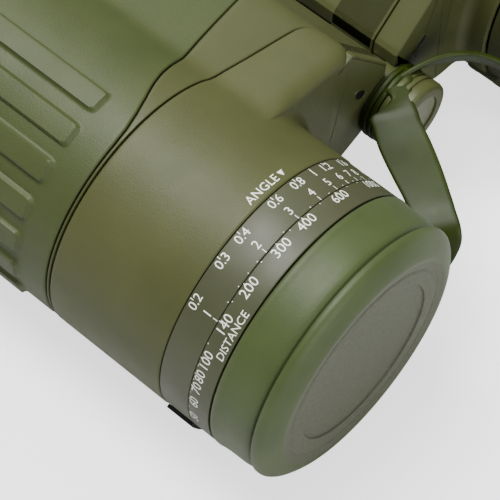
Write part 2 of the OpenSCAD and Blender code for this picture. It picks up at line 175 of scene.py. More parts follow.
def lathe(profile, centre_x, centre_z=0.0, cols=192, radius=0.3, wave=None, steps=4):
    """Points and faces of a turned piece round an axis along Y. The profile lists (radius, y)
    from front to back over the outside; x = centre_x + r cos a and z = centre_z + r sin a.
    wave(a, y, r) adds to r."""
    p = soften(profile, radius, steps) if radius else np.array(profile, dtype=float)
    a = np.arange(cols) * 2 * np.pi / cols
    r = np.repeat(p[:, :1], cols, axis=1)
    y = np.repeat(p[:, 1:], cols, axis=1)
    if wave is not None:
        r = r + wave(a[None, :], y, r)
    points = np.stack([centre_x + r * np.cos(a), y, centre_z + r * np.sin(a)], axis=-1)
    faces = grid_faces(len(p), cols, True, False).tolist()
    # An end row beside the axis is closed with one face
    for row, order in ((0, -1), (len(p) - 1, 1)):
        if p[row, 0] < 1.5:
            faces.append(list(range(row * cols, (row + 1) * cols))[::order])
    return points.reshape(-1, 3), faces


print("tools ready for", SIDES)

# %% [markdown]
# ## Colours and materials
# Paint, rubber and plastic differ mostly in how rough they are and in their grain. Each recipe
# below is a Principled shader whose colour drifts a little over the surface, and whose bump has the
# grain at its true size. The patterns use object coordinates, which are metres, so 1 mm is a scale
# of 1000.

# %% Material tools


def srgb(hex_colour):
    """Linear RGBA from sRGB hex: below 0.04045 divide by 12.92, above it take the 2.4 power."""
    h = hex_colour.lstrip("#")
    c = np.array([int(h[i:i + 2], 16) for i in (0, 2, 4)]) / 255.0
    linear = np.where(c <= 0.04045, c / 12.92, ((c + 0.055) / 1.055) ** 2.4)
    return tuple(float(v) for v in linear) + (1.0,)


def add_node(tree, kind, inputs=None, **settings):
    """Adds one shader node, sets its properties, then sets or links each named input."""
    node = tree.nodes.new(kind)
    for key, value in settings.items():
        setattr(node, key, value)
    for key, value in (inputs or {}).items():
        if isinstance(value, bpy.types.NodeSocket):
            tree.links.new(value, node.inputs[key])
        else:
            node.inputs[key].default_value = value
    return node


def start_material(name, roughness=0.5, metallic=0.0, coat=0.0, sheen=0.0, specular=0.3):
    """A new material: returns (material, tree, Principled shader, position socket)."""
    mat = bpy.data.materials.new(name)
    mat.use_nodes = True
    tree = mat.node_tree
    shader = tree.nodes["Principled BSDF"]
    shader.inputs["Roughness"].default_value = roughness
    shader.inputs["Metallic"].default_value = metallic
    shader.inputs["Coat Weight"].default_value = coat
    shader.inputs["Sheen Weight"].default_value = sheen
    if not metallic:
        shader.inputs["Specular IOR Level"].default_value = specular
    place = add_node(tree, "ShaderNodeTexCoord").outputs["Object"]
    return mat, tree, shader, place


def noise(tree, place, scale, detail=3.0, rough=0.55):
    """Noise value, 0 to 1, with features 1/scale metres across."""
    return add_node(tree, "ShaderNodeTexNoise", {"Vector": place, "Scale": scale, "Detail": detail,
                                                 "Roughness": rough}).outputs["Fac"]


def blend_colours(tree, low, high, value, start=0.35, end=0.65):
    """Colour that runs from low to high while value runs from start to end."""
    ramp = add_node(tree, "ShaderNodeValToRGB", {"Fac": value})
    ramp.color_ramp.elements[0].position = start
    ramp.color_ramp.elements[0].color = low if isinstance(low, tuple) else srgb(low)
    ramp.color_ramp.elements[1].position = end
    ramp.color_ramp.elements[1].color = high if isinstance(high, tuple) else srgb(high)
    return ramp.outputs["Color"]


def spread(tree, value, low, high):
    """Value from 0..1 to low..high."""
    return add_node(tree, "ShaderNodeMapRange", {"Value": value, "To Min": low,
                                                 "To Max": high}).outputs["Result"]


def bump(tree, height, depth_mm, strength=1.0, below=None):
    """Bump from a 0..1 height that stands for depth_mm; below is another bump's normal."""
    inputs = {"Height": height, "Distance": depth_mm * MM, "Strength": strength}
    if below is not None:
        inputs["Normal"] = below
    return add_node(tree, "ShaderNodeBump", inputs).outputs["Normal"]


def grained(name, low, high, roughness, grain_mm=0.35, depth_mm=0.03, patch_mm=14.0, sheen=0.0,
            coat=0.0, specular=0.3, pebble=False, rough_span=0.08):
    """Rubber, paint or plastic: broad colour patches, a fine grain and roughness that drifts."""
    mat, tree, shader, place = start_material(name, roughness, coat=coat, sheen=sheen,
                                              specular=specular)
    patches = noise(tree, place, 1000.0 / patch_mm, 4.0)
    tree.links.new(blend_colours(tree, low, high, patches, 0.3, 0.7), shader.inputs["Base Color"])
    drift = noise(tree, place, 1000.0 / (patch_mm * 0.4), 3.0)
    tree.links.new(spread(tree, drift, roughness - rough_span, roughness + rough_span),
                   shader.inputs["Roughness"])
    if pebble:
        cells = add_node(tree, "ShaderNodeTexVoronoi",
                         {"Vector": place, "Scale": 1000.0 / grain_mm}, feature="SMOOTH_F1")
        height = cells.outputs["Distance"]
    else:
        height = noise(tree, place, 1000.0 / grain_mm, 2.0, 0.6)
    swell = noise(tree, place, 1000.0 / (grain_mm * 9), 2.0)
    normal = bump(tree, swell, depth_mm * 1.6, 0.5)
    tree.links.new(bump(tree, height, depth_mm, 1.0, normal), shader.inputs["Normal"])
    return mat


# %% [markdown]
# The armour is matt rubber with a very fine pebble, and the housing paint beside it is almost the
# same olive but smoother. The caps are softer rubber, darker and a little greener than the armour.

# %% The finishes
FINISH = {
    "body_armour": grained("armour_rubber", "#3f4321", "#484b29", 0.52, 0.30, 0.030, 22.0,
                           pebble=True),
    "rear_rubber": grained("rear_armour_rubber", "#394220", "#414926", 0.52, 0.34, 0.034, 20.0,
                           pebble=True),
    "housing_paint": grained("housing_enamel", "#3f4323", "#464a29", 0.46, 0.22, 0.018, 26.0),
    "ring_plastic": grained("ring_plastic", "#3d3f2b", "#454832", 0.44, 0.16, 0.014, 18.0),
    "cap_rubber": grained("cap_rubber", "#384320", "#424e28", 0.50, 0.40, 0.030, 20.0, sheen=0.05),
    "cap_face": grained("cap_face_rubber", "#47493a", "#575948", 0.62, 0.28, 0.06, 0.6,
                        pebble=True),
    "strap_rubber": grained("strap_rubber", "#202a04", "#293406", 0.44, 0.30, 0.02, 12.0,
                            specular=0.2),
    "grip_rubber": grained("grip_rubber", "#33361e", "#3c3f24", 0.50, 0.25, 0.02, 12.0),
    "cover_plastic": grained("cover_plastic", "#3f4322", "#494d2a", 0.42, 0.20, 0.018, 9.0),
    "cover_disc": grained("cover_disc_plastic", "#5b5d49", "#646652", 0.38, 0.2, 0.01, 8.0),
    "black_metal": grained("black_enamel", "#141414", "#1b1b1a", 0.38, 0.18, 0.012, 10.0),
    "focus_rubber": grained("focus_rubber", "#161615", "#1f1f1d", 0.55, 0.25, 0.02, 9.0),
    "eyecup_rubber": grained("eyecup_rubber", "#151514", "#1e1e1c", 0.60, 0.30, 0.02, 14.0,
                             sheen=0.15),
    "black_rubber": grained("black_rubber", "#121211", "#1a1a18", 0.5, 0.25, 0.02, 8.0),
    "window_plastic": grained("window_plastic", "#050505", "#080808", 0.12, 0.6, 0.002, 6.0),
    "figure_ink": grained("figure_ink", "#e9e9dc", "#f4f4ea", 0.45, 0.12, 0.006, 3.0),
}


def turned_metal(name, low, high, roughness):
    """Turned metal: streaks stretched round the piece by squeezing the noise along Y."""
    mat, tree, shader, place = start_material(name, roughness, metallic=1.0)
    squeezed = add_node(tree, "ShaderNodeMapping",
                        {"Vector": place, "Scale": (120.0, 6000.0, 120.0)})
    streak = noise(tree, squeezed.outputs["Vector"], 1.0, 3.0)
    tree.links.new(blend_colours(tree, low, high, streak, 0.25, 0.75), shader.inputs["Base Color"])
    tree.links.new(spread(tree, streak, roughness - 0.06, roughness + 0.1),
                   shader.inputs["Roughness"])
    tree.links.new(bump(tree, streak, 0.01, 0.5), shader.inputs["Normal"])
    return mat


FINISH["axle_steel"] = turned_metal("turned_steel", "#8d8f92", "#a9abad", 0.28)
FINISH["screw_steel"] = turned_metal("blackened_steel", "#2a2a2b", "#3a3a3b", 0.35)
FINISH["hinge_brass"] = turned_metal("turned_brass", "#a98a4c", "#bda062", 0.3)


def coated_glass(name, tint, gloss):
    """Coated lens glass: clear, with a tinted specular layer that a faint dust noise roughens."""
    mat, tree, shader, place = start_material(name, 0.04, specular=0.6, coat=1.0)
    dust = noise(tree, place, 900.0, 4.0)
    tree.links.new(blend_colours(tree, tint, gloss, dust, 0.4, 0.6), shader.inputs["Base Color"])
    tree.links.new(spread(tree, dust, 0.02, 0.07), shader.inputs["Roughness"])
    shader.inputs["Transmission Weight"].default_value = 0.85
    shader.inputs["IOR"].default_value = 1.52
    shader.inputs["Coat Tint"].default_value = srgb("#8f7fd0")
    return mat


FINISH["lens_glass"] = coated_glass("coated_glass", "#c9d6d8", "#d6e2e2")
FINISH["prism_glass"] = coated_glass("prism_glass", "#d7e3e3", "#e3eeee")
print(len(FINISH), "finishes")


# %% [markdown]
# Each mechanical node keeps its mesh where that mesh is already right, and only takes a finish.

# %% Finishes for the mechanical nodes, and the tool that adds a shown piece
SLOT_OF = {row["node"]: row["material_slot"] for row in frame["record"]["subparts"]}
for node_name, node_object in frame["nodes"].items():
    finish = FINISH[SLOT_OF[node_name]]
    if not node_object.material_slots:
        node_object.data.materials.append(finish)
    for material_slot in node_object.material_slots:
        material_slot.material = finish


def add_piece(name, shape, slot, body, stands_for=(), finish=None, smooth=True):
    """Adds a piece from (points, faces) with its finish, and joins it to its body, if any."""
    points, faces = shape
    obj = make_object(name, points, faces, smooth)
    obj.data.materials.append(FINISH[finish or slot])
    if body:
        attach(obj, body)
    if stands_for:
        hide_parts(*stands_for)
    return obj


print("painted", len(SLOT_OF), "nodes")

# %% [markdown]
# ## The barrel's skin
# The armour and the housing share one outer form: a 62 mm tube that grows, at a front wall, into a
# box on the hinge side which holds the prisms. Seen from the objective axis the form is a radius
# for each direction and station, so it can be one function of two numbers. Corners are rounded by
# averaging that radius over a small angle, as a moulded part's corners are.

# %% Skin radius
WALL_Y = 5.5
RING_Y = -9.0
SEAM_B = 21.3
REAR_Y = 90.0
COLS = 540
ANGLES = np.arange(COLS) * 2 * np.pi / COLS
# The section is worked out at 0.125 degree steps before it is smoothed
FINE_STEPS = 2880
SMOOTH_DEGREES = 2.4
BOX_BOTTOM = 15.0
BOX_TOP = 26.7
BOX_REACH = 44.4
CONE_SLOPE = 13.2 / 24.7


def section_radius():
    """Housing section about the objective axis: the larger of a circle cut flat at the underside
    and a box on the hinge side, averaged with a Gaussian weight over SMOOTH_DEGREES."""
    fine = np.arange(FINE_STEPS) * 2 * np.pi / FINE_STEPS
    c, s = np.cos(fine), np.sin(fine)
    below = np.where(s < 0, BOX_BOTTOM / np.maximum(-s, 1e-6), 1e6)
    above = np.where(s > 0, BOX_TOP / np.maximum(s, 1e-6), 1e6)
    inward = np.where(c > 0, BOX_REACH / np.maximum(c, 1e-6), 0.0)
    box = np.minimum(np.minimum(inward, above), below)
    circle = np.minimum(TUBE_R, below)
    radius = np.maximum(circle, box)
    reach = np.arange(-72, 73)
    weight = np.exp(-0.5 * (reach * 0.125 / SMOOTH_DEGREES) ** 2)
    weight /= weight.sum()
    padded = np.concatenate([radius[-72:], radius, radius[:72]])
    return np.interp(ANGLES, fine, np.convolve(padded, weight, "valid"), period=2 * np.pi)


SECTION = section_radius()
SECTION_X = SECTION * np.cos(ANGLES)


def skin_radius(y, share):
    """Radius at stations y, as (rows, columns). share runs 0 to 1 up the front wall. Behind seam B
    the tube shrinks as a cone, and the larger of cone and section wins, with a soft join."""
    cone = TUBE_R - np.clip(y - SEAM_B, 0, 60) * CONE_SLOPE
    k = 0.35
    both = k * np.logaddexp(cone / k, np.broadcast_to(SECTION, y.shape) / k)
    both = np.minimum(both, np.maximum(cone, SECTION))
    return TUBE_R + (both - TUBE_R) * share


def seam_b(x):
    """Rear edge of the front armour: it comes forward as it nears the hinge side."""
    return np.interp(x, [14, 19.6, 26.2, 34.4, 39, 40.9, 42.4, 43.2],
                     [21.3, 20.7, 19.6, 18.4, 17.7, 17.0, 15.6, 14.0])


def seam_a(x):
    """Front edge of the rear armour: it goes back as it nears the hinge side."""
    return np.interp(x, [-12, -8, -4, 0, 4, 8, 12, 16, 22.7, 28.6, 44],
                     [22.7, 23.0, 23.9, 25.2, 26.7, 27.9, 28.7, 29.3, 30.4, 31.2, 33.0])


print("section radius from", SECTION.min().round(1), "to", SECTION.max().round(1), "mm")

# %% [markdown]
# The front armour runs from the ranging ring over the front wall to seam B. Its rows crowd together
# at the wall, and both ends roll inward so that the rubber shows its thickness at the seams.

# %% Front armour
ROLL = np.radians([0, 25, 50, 75, 90])


def rolled(y_end, direction, radius=0.45, depth=1.1):
    """Rows that roll over an edge at y_end: (y, drop) pairs. direction +1 is the rear end."""
    y = y_end - direction * radius * (1 - np.sin(ROLL))[:, None]
    drop = radius * (1 - np.cos(ROLL))[:, None] + np.zeros_like(y)
    y = np.concatenate([y, y[-1:]])
    drop = np.concatenate([drop, drop[-1:] * 0 + depth])
    return (y, drop) if direction > 0 else (y[::-1], drop[::-1])


WALL_FOOT = 2.6
WALL_BROW = 4.2


def wall_rows():
    """Rows up the box's front wall, as (y, share). In each column the wall starts with a hollow
    curve and ends with a round, so it fades out where the box meets the tube."""
    height = np.maximum(SECTION - TUBE_R, 1e-3)
    foot = np.minimum(WALL_FOOT, 0.35 * height)
    brow = np.minimum(WALL_BROW, 0.6 * height)
    turn = np.linspace(0, np.pi / 2, 9)[:, None]
    y0 = WALL_Y - WALL_FOOT * (1 - np.sin(turn)) + 0 * height
    up0 = foot * (1 - np.cos(turn))
    middle = np.linspace(0.2, 0.8, 3)[:, None]
    up1 = foot + (height - brow - foot) * middle
    y1 = WALL_Y + 0 * up1
    y2 = WALL_Y + WALL_BROW * (1 - np.cos(turn)) + 0 * height
    up2 = height - brow + brow * np.sin(turn)
    y = np.concatenate([y0, y1, y2])
    return y + np.linspace(0, 0.02, len(y))[:, None], np.concatenate([up0, up1, up2]) / height


def skin_points(y, drop, share, extra=0.0):
    """Grid of points at stations y, drop below the skin, with extra added outward."""
    r = skin_radius(y, share) - drop + extra
    return np.stack([r * np.cos(ANGLES), y, r * np.sin(ANGLES)], axis=-1)


def front_armour(first_y):
    """Armour rows from first_y to seam B, as (points, faces)."""
    full = np.zeros(COLS)
    y0, d0 = rolled(np.full(COLS, first_y), -1)
    y1, d1 = rolled(seam_b(SECTION_X), +1)
    front = np.linspace(first_y + 1, 2.6, 8)[:, None] + full
    wall_y, wall_share = wall_rows()
    back = 9.9 + (y1[0] - 0.4 - 9.9) * np.linspace(0, 1, 12)[:, None]
    y = np.concatenate([y0, front, wall_y, back, y1])
    drop = np.concatenate([d0, front * 0, wall_y * 0, back * 0, d1])
    share = np.concatenate([y0 * 0, front * 0, wall_share, back * 0 + 1, y1 * 0 + 1])
    return skin_points(y, drop, share), grid_faces(len(y), COLS)


def on_side(shape, side):
    """Puts (points, faces) on a side; the left is a mirror image, so its faces are turned over."""
    points, faces = shape
    faces = np.asarray(faces) if not isinstance(faces, list) else faces
    if side == "left":
        faces = [list(f)[::-1] for f in faces]
    else:
        faces = [list(map(int, f)) for f in faces]
    return to_side(points, side).reshape(-1, 3), faces


for side in SIDES:
    shape = on_side(front_armour(RING_Y + 0.05 if side == "right" else -0.95), side)
    add_piece(f"{side}_front_rubber", shape, "body_armour", f"{side}_barrel",
              [f"{side}_front_armour"])
print("front armour columns", COLS)

# %% [markdown]
# Between the two seams the cast housing shows as a narrow band, a hair below the rubber. Behind it
# the rear armour carries raised finger ribs. A rib is a long bar with small round corners, so its
# height comes from the distance to a rounded rectangle drawn on the unrolled tube.

# %% Housing band and rear armour
RIB_ANGLES = np.radians([103.1, 119.4, 135.5, 152.1, 168.2, 184.3, 200.3])
RIB_HALF_WIDTH = 2.55
RIB_CORNER = 1.1
RIB_SPAN = (30.5, 77.0)
RIB_HEIGHT = 0.95


def smooth_step(value):
    """3v^2 - 2v^3 on 0 to 1."""
    v = np.clip(value, 0, 1)
    return v * v * (3 - 2 * v)


def rib_height(y):
    """Height of the ribs at stations y. The distance to a rounded rectangle is the length of the
    part of (across, along) that lies outside a smaller rectangle, less the corner radius."""
    height = np.zeros(y.shape)
    for angle in RIB_ANGLES:
        across = np.abs(ANGLES - angle) * TUBE_R - (RIB_HALF_WIDTH - RIB_CORNER)
        along = np.maximum(RIB_SPAN[0] + RIB_CORNER - y, y - RIB_SPAN[1] + RIB_CORNER)
        distance = np.hypot(np.maximum(across, 0), np.maximum(along, 0)) - RIB_CORNER
        height = np.maximum(height, RIB_HEIGHT * smooth_step((0.3 - distance) / 0.6))
    return height


def housing_band():
    """The strip of housing between the seams, tucked under both rubbers."""
    b, a = seam_b(SECTION_X), seam_a(SECTION_X)
    share = np.linspace(0, 1, 10)[:, None]
    top = (b + 0.75) + (a - b - 1.5) * share
    y = np.concatenate([[b - 0.6, b + 0.38, b + 0.38, b + 0.5], top,
                        [a - 0.5, a - 0.38, a - 0.38, a + 0.6]])
    drop = np.array([1.1, 1.1, 0.45, 0.2] + [0.12] * 10 + [0.2, 0.45, 1.1, 1.1])[:, None] + 0 * y
    return skin_points(y, drop, np.ones(y.shape)), grid_faces(len(y), COLS)


def rear_armour():
    """Rear rubber with its ribs, from seam A to the housing's end."""
    y0, d0 = rolled(seam_a(SECTION_X), -1)
    y1, d1 = rolled(np.full(COLS, REAR_Y - 0.3), +1)
    near = y0[-1] + (29.2 - y0[-1]).clip(0.5) * np.linspace(0.08, 0.9, 8)[:, None]
    near = np.maximum.accumulate(near, axis=0)
    first = np.maximum(near[-1] + 0.3, 29.0)
    share = np.concatenate([np.linspace(0, 0.12, 16), np.linspace(0.14, 0.74, 24),
                            np.linspace(0.755, 0.86, 16), np.linspace(0.88, 0.99, 5)])[:, None]
    far = first + (REAR_Y - 1.2 - first) * share
    y = np.concatenate([y0, near, far, y1])
    drop = np.concatenate([d0, near * 0, far * 0, d1])
    return skin_points(y, drop, np.ones(y.shape), rib_height(y)), grid_faces(len(y), COLS)


for side in SIDES:
    add_piece(f"{side}_rear_rubber", on_side(rear_armour(), side), "body_armour", f"{side}_barrel",
              [f"{side}_rear_armour"], finish="rear_rubber")
print("ribs", len(RIB_ANGLES), "pitch", np.degrees(np.diff(RIB_ANGLES)).mean().round(1))

# %% [markdown]
# ## The hinge arms
# Between each prism box and the hinge runs a cast web with a sloping flank. It is one outline
# carried along Y, with a small bevel at each end, in slabs that leave room for the other side's
# lugs.

# %% Hinge arms, lugs and front hub
LUG_R = 8.4
HINGE_Z = -2.2
LUG_BORE = {"right": 5.05, "left": 6.2}
# A lug stands this far past its slab at each end, so no two end faces lie in one plane
LUG_PROUD = 0.06
LUGS = {"right": [(5.5, 11.5), (62.8, 74.8)], "left": [(12.3, 24.0), (50.0, 62.0)]}
FLANK = np.array([[38.4, 22.4], [42.4, 24.0], [43.4, 24.2], [44.4, 23.7], [57.2, 11.0],
                  [57.9, 10.0], [57.9, -2.2], [53.9, -8.0], [44.0, -12.8], [38.4, -12.8]])


def cut_round_hinge(outline, radius):
    """The outline with every point nearer the hinge axis than radius pushed out to that radius."""
    dense = np.concatenate([a + (b - a) * np.linspace(0, 1, 24, endpoint=False)[:, None]
                            for a, b in zip(outline, np.roll(outline, -1, axis=0))])
    offset = dense - np.array([BARREL_X, HINGE_Z])
    distance = np.linalg.norm(offset, axis=1, keepdims=True)
    return np.array([BARREL_X, HINGE_Z]) + offset / distance * np.maximum(distance, radius)


def extruded(outline, y0, y1, bevel=0.6):
    """A closed outline (clockwise from -Y) carried from y0 to y1, its two end edges bevelled by
    moving the outline inward along its own normals."""
    ahead, behind = np.roll(outline, -1, axis=0), np.roll(outline, 1, axis=0)
    along = ahead - behind
    along /= np.linalg.norm(along, axis=1, keepdims=True) + 1e-9
    inward = np.stack([along[:, 1], -along[:, 0]], axis=1)
    rows = [(y0, bevel), (y0 + 0.3 * bevel, 0.3 * bevel), (y0 + bevel, 0), (y1 - bevel, 0),
            (y1 - 0.3 * bevel, 0.3 * bevel), (y1, bevel)]
    ring = np.stack([outline + inward * inset for _, inset in rows])
    y = np.array([y for y, _ in rows])[:, None] + np.zeros(len(outline))
    points = np.stack([ring[..., 0], y, ring[..., 1]], axis=-1)
    n = len(outline)
    faces = grid_faces(len(rows), n, True, True).tolist()
    faces.append(list(range(n)))
    faces.append(list(range((len(rows) - 1) * n, len(rows) * n))[::-1])
    return points.reshape(-1, 3), faces


def hinge_arm(side):
    """The flank in slabs. Each slab is full where this side's lugs are and cut round the hinge
    elsewhere, and the small bevels between slabs read as the seams across the web."""
    full = cut_round_hinge(FLANK, 0.1)
    cut = cut_round_hinge(FLANK, LUG_R + 0.5)
    first = 6.8 if side == "right" else 11.9
    start = 5.9 if side == "right" else 5.5
    parts = [extruded(cut, start, first, 0.45), extruded(cut, first + 0.25, 74.6, 0.5)]
    return merge(parts + [extruded(full, y0, y1, 0.45) for y0, y1 in LUGS[side]])


def slot_recess():
    """A blind slot in the web's front face: a raised lip round a flat disc, both rolled flat against the
    face.
    The disc takes a black finish as painted shade for the slot's shadowed floor. Its outline is a circle of
    radius 1.3 stretched 1.9 times along the slope."""
    a = np.arange(48) * 2 * np.pi / 48
    along, across = np.array([0.72, -0.69]), np.array([0.69, 0.72])
    rows = [(1.55, 5.5), (1.5, 5.36), (1.38, 5.3), (1.25, 5.34), (1.18, 5.47)]
    flat = np.cos(a)[:, None] * along * 1.9 + np.sin(a)[:, None] * across
    lip = np.stack([np.concatenate([[[48.9, 7.3]] + flat * r, np.full((48, 1), y)], axis=1)
                    for r, y in rows])[..., [0, 2, 1]]
    # The innermost lip row closes with a flat disc that is painted shade, not a real recess
    painted_shade_ring = lip[-1]
    return (lip.reshape(-1, 3), grid_faces(5, 48).tolist()), (painted_shade_ring, [list(range(48))])


for side in SIDES:
    lug_parts = []
    for y0, y1 in LUGS[side]:
        bore = LUG_BORE[side]
        y0, y1 = y0 - LUG_PROUD, y1 + LUG_PROUD
        lug_parts.append(lathe([(bore, y0), (LUG_R, y0), (LUG_R, y1), (bore, y1)], 0.0, HINGE_Z,
                               radius=0.5))
    if side == "right":
        # The hub flares out from the front disc to the web behind it
        hub = [(5.1, 4.82), (8.75, 4.82), (8.9, 5.0), (8.6, 5.6), (8.75, 6.6), (8.85, 8.0),
               (5.1, 8.0)]
        lug_parts.append(lathe(hub, 0.0, HINGE_Z, radius=0.25))
    lip, painted_shade_floor = slot_recess()
    flank = on_side(hinge_arm(side), side)
    band = on_side(housing_band(), side)
    inner_front = lathe([(27.3, -8.6), (29.9, -8.6), (29.9, -4.0)], sign(side) * BARREL_X,
                        radius=0.2)
    shape = merge([band, flank, inner_front, on_side(lip, side)] + lug_parts)
    add_piece(f"{side}_housing_casting", shape, "housing_paint", f"{side}_barrel",
              [f"{side}_housing"])
    # The black disc is painted shade: it stands for the shadow inside the slot
    add_piece(f"{side}_web_slot_painted_shade", on_side(painted_shade_floor, side), "housing_paint", f"{side}_barrel",
              finish="black_metal")
print("hinge arms with", sum(len(v) for v in LUGS.values()), "lugs")

# %% [markdown]
# ## The ranging rings
# Two plain plastic rings turn side by side at the front of the right tube. Their edges are barely
# broken, so the seams between them read as thin dark lines. The thumb pad, a small raised rubber block,
# keeps the mechanical model's own mesh.

# %% Angle ring and distance ring
ANGLE_Y = (-16.7, -9.15)
DISTANCE_Y = (-22.15, -16.85)
RING_R = 31.0


def plain_ring(y0, y1, outer=RING_R, inner=28.55):
    """A ring's whole section, turned: front face, outside, rear face and bore."""
    return lathe([(inner, (y0 + y1) / 2), (inner, y0), (outer, y0), (outer, y1), (inner, y1),
                  (inner, (y0 + y1) / 2)], -BARREL_X, cols=360, radius=0.22)


add_piece("angle_scale_ring", plain_ring(*ANGLE_Y), "ring_plastic", "angle_dial", ["angle_ring"])
add_piece("distance_scale_ring", plain_ring(*DISTANCE_Y, inner=28.52), "ring_plastic",
          "right_barrel", ["distance_ring"])

# %% [markdown]
# ## Figures on the rings
# The figures are type turned into flat mesh, then rolled onto the ring: a letter's sideways
# distance becomes an angle about the axis and its height becomes a distance along Y. The tops of the letters
# point to the eyepieces, so the scales read upright to the person who holds the binoculars.

# %% Type rolled onto a tube
INK_R = RING_R + 0.03


def flat_type(text, height, weight=0.0, spacing=1.0):
    """Type as flat (points, faces), centred on its middle: x across and y up, height in mm."""
    curve = bpy.data.curves.new("type", "FONT")
    curve.body = text
    curve.align_x = "CENTER"
    curve.align_y = "CENTER"
    curve.size = height / 0.73
    curve.offset = weight
    curve.space_character = spacing
    curve.resolution_u = 3
    obj = bpy.data.objects.new("type", curve)
    bpy.context.scene.collection.objects.link(obj)
    graph = bpy.context.evaluated_depsgraph_get()
    mesh = bpy.data.meshes.new_from_object(obj.evaluated_get(graph))
    points = np.empty(len(mesh.vertices) * 3, dtype=np.float32)
    mesh.vertices.foreach_get("co", points)
    faces = [list(p.vertices) for p in mesh.polygons]
    bpy.data.objects.remove(obj)
    bpy.data.curves.remove(curve)
    bpy.data.meshes.remove(mesh)
    return points.reshape(-1, 3)[:, :2].astype(float), faces


def rolled_type(flat, angle_deg, y, radius=INK_R):
    """Rolls flat points onto the tube: the angle falls as x grows, by x over the radius."""
    points, faces = flat
    a = np.radians(angle_deg) - points[:, 0] / radius
    out = np.stack([-BARREL_X + radius * np.cos(a), y + points[:, 1], radius * np.sin(a)], axis=-1)
    return out, faces


def bar(width, height):
    """A flat upright bar, as for a tick, cut into strips so that it can follow the curve."""
    x = np.linspace(-width / 2, width / 2, 3 if width < 2 else 12)
    points = np.stack([np.repeat(x, 2), np.tile([-height / 2, height / 2], len(x))], axis=-1)
    i = np.arange(len(x) - 1) * 2
    return points, np.stack([i, i + 2, i + 3, i + 1], axis=-1).tolist()


# Row 1 and row 2 are angles on the turning ring; row 3 is distance on the fixed ring
UPPER_SCALE = {"0.2": 139.9, "0.3": 122.0, "0.4": 110.6, "0.6": 92.4, "0.8": 79.9, "1": 70.1,
               "1.2": 61.9, "1.6": 48.6}
LOWER_SCALE = {"1": 140.7, "2": 110.1, "3": 92.2, "4": 79.5, "5": 69.6, "6": 61.6, "7": 54.8,
               "8": 48.9, "10": 39.2}
DISTANCES = {"50": 190.9, "60": 179.6, "70": 171.1, "80": 164.6, "100": 156.7, "140": 140.2,
             "200": 123.9, "300": 105.5, "400": 91.6, "600": 72.2, "1000": 48.8}
# Small dots stand between the figures, at the steps of a logarithmic scale
DECADE_DEGREES = 101.5
DOT_VALUES = np.array([1.2, 1.4, 1.6, 1.8, 2.5, 3.5, 4.5, 5.5, 6.5, 7.5, 9.0])
LOWER_DOTS = LOWER_SCALE["1"] - DECADE_DEGREES * np.log10(DOT_VALUES)
DISTANCE_DOTS = np.array([185.0, 175.2, 167.8, 160.5, 150.0, 131.5, 114.0, 98.2, 81.5, 64.5, 57.0])
FIGURE_HEIGHT = 2.1
STROKE = -0.006
# The whole of each scale is turned by this many degrees to meet the index
SCALE_TURN = 0.4


def scale_row(entries, y_text, y_tick, tick, height=FIGURE_HEIGHT):
    """A row of figures with a tick for each: entries maps the text to its angle in degrees."""
    out = []
    for text, angle in entries.items():
        out.append(rolled_type(flat_type(text, height, STROKE), angle + SCALE_TURN, y_text))
        out.append(rolled_type(bar(0.17, tick), angle + SCALE_TURN, y_tick))
    return out


figures_turning = scale_row(UPPER_SCALE, -10.75, -9.75, 0.85)
figures_turning += scale_row(LOWER_SCALE, -14.15, -16.1, 1.1)
figures_turning += [rolled_type(bar(0.2, 0.2), a + SCALE_TURN, -16.45) for a in LOWER_DOTS]
figures_fixed = scale_row(DISTANCES, -18.4, -17.25, 0.7, 2.25)
figures_fixed += [rolled_type(bar(0.2, 0.2), a + SCALE_TURN, -17.15) for a in DISTANCE_DOTS]
figures_fixed.append(rolled_type(flat_type("DISTANCE", 1.8, STROKE, 1.0), 142.5, -20.8))
add_piece("angle_figures", merge(figures_turning), "ring_plastic", "angle_dial",
          finish="figure_ink")
add_piece("distance_figures", merge(figures_fixed), "ring_plastic", "right_barrel",
          finish="figure_ink")
pointer = (np.array([[-0.75, 0.75], [0.75, 0.75], [0.0, -0.75]]), [[0, 2, 1]])
index_parts = [rolled_type(flat_type("ANGLE", 2.0, 0.006, 1.04), 92.0, -6.95, TUBE_R + 0.03),
               rolled_type(pointer, 81.2, -6.9, TUBE_R + 0.03)]
add_piece("index_mark", merge(index_parts), "body_armour", "right_barrel", finish="figure_ink")
print("figures:", len(figures_turning), "turning,", len(figures_fixed), "fixed")

# %% [markdown]
# ## The objective caps
# A cap is soft rubber turned to one section: a skirt that swells at its mouth, a fine groove, a
# proud rim, a bevel, and a dished face with a thin ring and a shallow sunken disc.

# %% Caps
CAP_Y = (-37.4, -22.3)
CAP_PROFILE = [(0.02, -36.45), (18.75, -36.45), (19.05, -36.62), (19.1, -36.95), (19.35, -37.02),
               (22.4, -37.0), (22.75, -36.78), (23.15, -36.74), (23.6, -36.95), (24.4, -37.05),
               (25.6, -37.36), (26.4, -37.25), (27.6, -36.75), (28.8, -36.05), (30.0, -35.2),
               (30.75, -34.25), (30.82, -33.15), (30.45, -33.0), (29.75, -32.9), (29.7, -32.6),
               (30.2, -32.2), (30.55, -31.4), (30.72, -30.2), (30.75, -26.5), (30.9, -24.6),
               (31.1, -23.5), (31.05, -22.8), (30.6, -22.4), (28.8, -22.35), (28.8, -32.2),
               (24.0, -33.7), (0.02, -33.75)]




def face_centres(obj):
    """The middle of every face, as an array of (x, y, z) in metres."""
    centres = np.empty(len(obj.data.polygons) * 3, dtype=np.float32)
    obj.data.polygons.foreach_get("center", centres)
    return centres.reshape(-1, 3)


